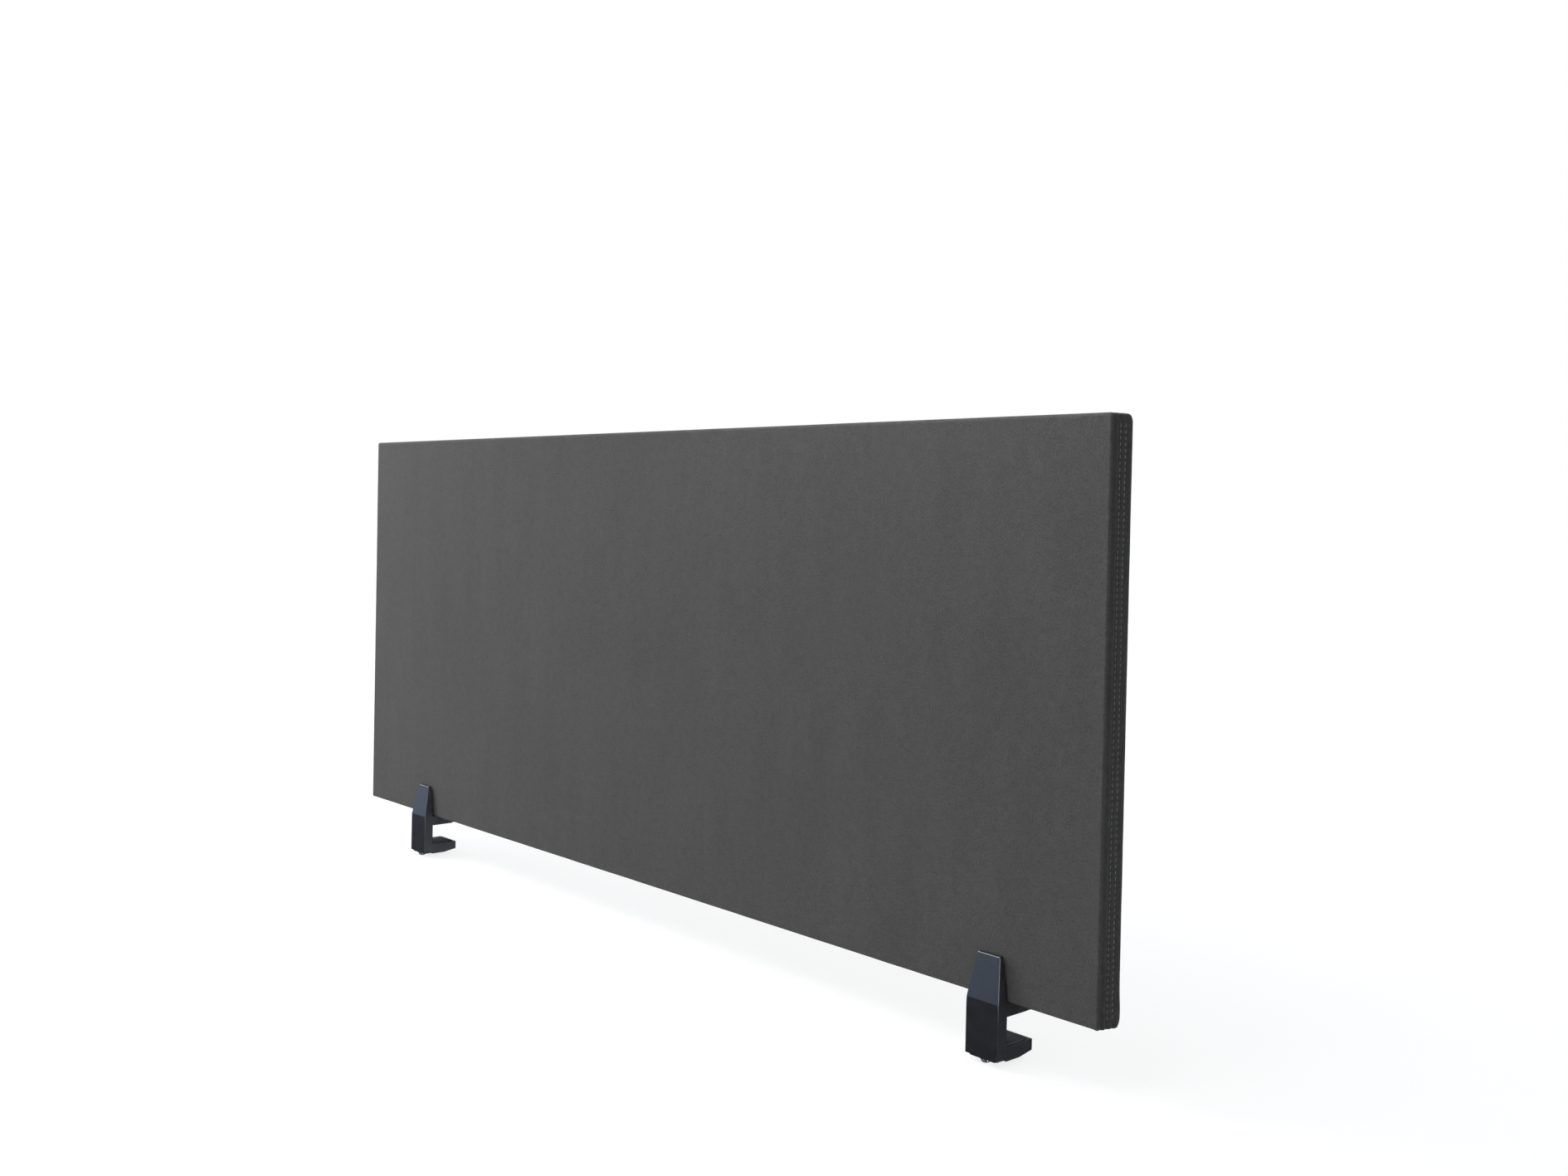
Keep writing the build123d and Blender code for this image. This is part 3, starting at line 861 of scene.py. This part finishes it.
def button_screw(side, material):
    """The jaw's button-head screw: domed head, hexagon socket and a cut thread."""
    node = f"{side}_jaw_screw"
    low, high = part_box(node)
    centre = (low + high) / 2
    head_radius = (high.x - low.x) / 2
    head_height = 3.3 * MM
    dome_round = 2.4 * MM
    shank = 3.0 * MM
    socket_flats, socket_depth = 4.0 * MM, 2.0 * MM
    neck_length = 12.0 * MM
    chamfer = 0.15 * MM
    total = high.z - low.z

    def socket(grow):
        return lambda angle: hexagon_radius(angle, socket_flats) + grow

    profile = [
        (plain(0.4 * MM), socket_depth + 0.4 * MM),
        (socket(-0.4 * MM), socket_depth),
        (socket(0), socket_depth - chamfer),
        (socket(0), 0.3 * MM),
        (socket(0.25 * MM), 0.0),
    ]
    for step in range(9):
        turn = math.pi / 2 * step / 8
        radius = head_radius - dome_round * (1 - math.sin(turn))
        profile.append((plain(radius), dome_round * (1 - math.cos(turn))))
    profile += [
        (plain(head_radius), head_height - chamfer),
        (plain(head_radius - chamfer), head_height),
        (plain(shank + 0.2 * MM), head_height),
        (plain(shank - 0.01 * MM), head_height + 0.25 * MM),
        (plain(shank - 0.01 * MM), head_height + neck_length),
    ]
    profile += thread_rings(shank, head_height + neck_length + 0.2 * MM, total - 0.8 * MM)
    profile.append((plain(shank - 0.7 * MM), total))

    def to_place(x, y, height):
        return (centre.x + x, centre.y + y, low.z + height)

    points, faces = revolved(profile, 72, to_place)
    screw = mesh_object(f"{side}_button_screw", points, faces, material, f"{side}_jaw_screw")
    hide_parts(node)


def cup_grub_screw(side, material):
    """The grub screw that pushes the plate: threaded all along, with a hexagon socket at the back."""
    node = f"{side}_grub_screw"
    low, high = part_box(node)
    centre = (low + high) / 2
    shank = (high.x - low.x) / 2
    total = high.y - low.y
    socket_flats, socket_depth = 3.0 * MM, 4.0 * MM
    profile = [(plain(1.0 * MM), 0.35 * MM), (plain(1.9 * MM), 0.0), (plain(shank - 0.55 * MM), 0.35 * MM)]
    profile += thread_rings(shank, 0.6 * MM, total - 0.6 * MM)
    profile += [
        (plain(shank - 0.5 * MM), total),
        (lambda angle: hexagon_radius(angle, socket_flats) + 0.25 * MM, total),
        (lambda angle: hexagon_radius(angle, socket_flats), total - 0.3 * MM),
        (lambda angle: hexagon_radius(angle, socket_flats), total - socket_depth),
        (plain(0.3 * MM), total - socket_depth - 0.4 * MM),
    ]

    def to_place(x, y, height):
        return (centre.x + x, low.y + height, centre.z - y)

    points, faces = revolved(profile, 48, to_place)
    screw = mesh_object(f"{side}_cup_grub_screw", points, faces, material, f"{side}_grub")
    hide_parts(node)


# ---------------------------------------------------------------- CAD nodes that stay

def finish_cad_nodes(looks):
    """Give every CAD node the material of its record slot, and the rails and stiles their grain."""
    slot_of = {row["node"]: row["material_slot"] for row in frame["record"]["subparts"]}
    for name, node in frame["nodes"].items():
        look = looks[slot_of[name]]
        if name.endswith("_stile"):
            look = looks["upright_timber"]
        if not node.material_slots:
            node.data.materials.append(look)
        for material_slot in node.material_slots:
            material_slot.link = "OBJECT"
            material_slot.material = look


# ---------------------------------------------------------------- studio

def studio_floor():
    """A plain pale floor under the object. Shiny surfaces reflect the studio, not the floor."""
    look = Look("studio_floor")
    dust = look.noise(40 * MM, detail=4.0)
    tone = look.blend(look.remap(dust, 0.0, 1.0, 0.3, 0.7), (0.15, 0.15, 0.15), (0.17, 0.17, 0.17))
    seen = look.add("ShaderNodeLightPath").outputs["Is Camera Ray"]
    look.set(Base_Color=tone, Roughness=look.remap(dust, 0.65, 0.75), Emission_Color=(1.0, 1.0, 1.0),
             Emission_Strength=look.math("MULTIPLY", seen, floor_glow))
    half = 40.0
    height = cad_box[0].z - 0.5 * MM
    corners = [(-half, -half, height), (half, -half, height), (half, half, height), (-half, half, height)]
    mesh = bpy.data.meshes.new("studio_floor")
    mesh.from_pydata(corners, [], [(0, 1, 2, 3)])
    floor = bpy.data.objects.new("studio_floor", mesh)
    floor.data.materials.append(look.material)
    floor.visible_glossy = False
    bpy.context.scene.collection.objects.link(floor)


def soft_light(name, place, aim, width, height, power, reflected=True):
    """A soft lamp that faces a point; one that is not reflected lights only what is matt."""
    data = bpy.data.lights.new(name, "AREA")
    data.shape = "RECTANGLE"
    data.size, data.size_y = width, height
    data.energy = power
    lamp = bpy.data.objects.new(name, data)
    lamp.visible_glossy = reflected
    lamp.location = place
    lamp.rotation_mode = "QUATERNION"
    lamp.rotation_quaternion = (Vector(aim) - Vector(place)).to_track_quat("-Z", "Y")
    bpy.context.scene.collection.objects.link(lamp)


def studio_world():
    """White to the camera, a soft light from the front left, and a dark studio in what shines."""
    world = bpy.data.worlds.new("studio_world")
    world.use_nodes = True
    bpy.context.scene.world = world
    world.node_tree.nodes.clear()
    sky = Shader(world.node_tree, "Generated")
    kind = sky.add("ShaderNodeLightPath").outputs

    left = sky.nearness((-0.70, -0.60, 0.38), -1.0, 1.0)
    soft = sky.grey(sky.remap(left, ambient * (1 - ambient_lean), ambient * (1 + ambient_lean)))

    height = sky.axes()[2]
    window = sky.math("MULTIPLY", sky.nearness((-0.76, -0.65, 0.2), 0.55, 0.85),
                      sky.remap(height, 0.0, 1.0, -0.12, 0.02))
    strip = sky.math("MULTIPLY", sky.nearness((0.995, -0.03, 0.1), 0.94, 0.975),
                     sky.remap(height, 0.0, 1.0, -0.14, -0.05))
    lamp = sky.nearness((-0.62, -0.30, 0.70), 0.90, 0.96)
    back = sky.math("MULTIPLY", sky.nearness((0.3, 0.95, 0.3), 0.6, 0.9),
                    sky.remap(height, 0.0, 1.0, -0.10, 0.05))
    shine = sky.blend(sky.remap(height, 0.0, 1.0, 0.45, 0.9), (0.10, 0.10, 0.10), (0.75, 0.77, 0.80))
    shine = sky.blend(window, shine, (1.05, 1.35, 1.95))
    shine = sky.blend(strip, shine, (22.0, 23.5, 27.0))
    shine = sky.blend(lamp, shine, (16.0, 17.0, 19.0))
    shine = sky.blend(back, shine, (0.9, 1.0, 1.15))

    colour = sky.blend(kind["Is Glossy Ray"], soft, shine)
    colour = sky.blend(kind["Is Camera Ray"], colour, (1.0, 1.0, 1.0))
    light = sky.add("ShaderNodeBackground", Color=colour, Strength=1.0)
    output = sky.add("ShaderNodeOutputWorld")
    sky.feed(output.inputs["Surface"], light)


def studio_camera():
    """Low and to the right of the panel, looking along it."""
    place = (1.632, -1.212, 0.513)
    heading, pitch, roll = 48.02, -0.91, 1.15
    data = bpy.data.cameras.new("studio_camera")
    data.sensor_width = 36.0
    data.lens = 35.0
    data.shift_y = -0.0336
    data.clip_start, data.clip_end = 0.05, 100
    camera = bpy.data.objects.new("studio_camera", data)
    camera.matrix_world = (
        Matrix.Translation(place)
        @ Matrix.Rotation(math.radians(heading), 4, "Z")
        @ Matrix.Rotation(math.radians(90 + pitch), 4, "X")
        @ Matrix.Rotation(math.radians(roll), 4, "Z")
    )
    bpy.context.scene.collection.objects.link(camera)
    bpy.context.scene.camera = camera


# ---------------------------------------------------------------- build

fabric = cover_fabric()
steel = bright_steel()
finish_cad_nodes({
    "charcoal_fabric": fabric,
    "padding": open_foam(),
    "frame_timber": sawn_timber("rail_timber", 0),
    "upright_timber": sawn_timber("stile_timber", 2),
    "fibreboard": hardboard(),
    "honeycomb": honeycomb_paper(),
    "zinc_steel": steel,
    "black_moulding": black_moulding(),
    "brass": turned_brass(),
    "black_rubber": black_rubber(),
})
sewn_cover(fabric)
thread = sewing_thread()
for end in (-1, 1):
    end_stitching(end, thread)
closing_strip(hem_tape())
foam = open_foam()
foam_sheet("front_padding", "front_foam_sheet", foam)
foam_sheet("rear_padding", "rear_foam_sheet", foam)
for hand in ("left", "right"):
    button_screw(hand, steel)
    cup_grub_screw(hand, steel)

studio_floor()
studio_world()
soft_light("key_light", place=(-1.5, -0.9, 1.5), aim=(-0.8, 0.0, 0.5), width=0.8, height=0.6, power=19.7)
soft_light(
    "top_light", place=(0.6, -0.6, 1.3), aim=(0.6, 0.0, 0.5), width=0.3, height=0.3, power=4.3,
    reflected=False,
)
studio_camera()
bpy.context.scene.view_settings.view_transform = "Standard"
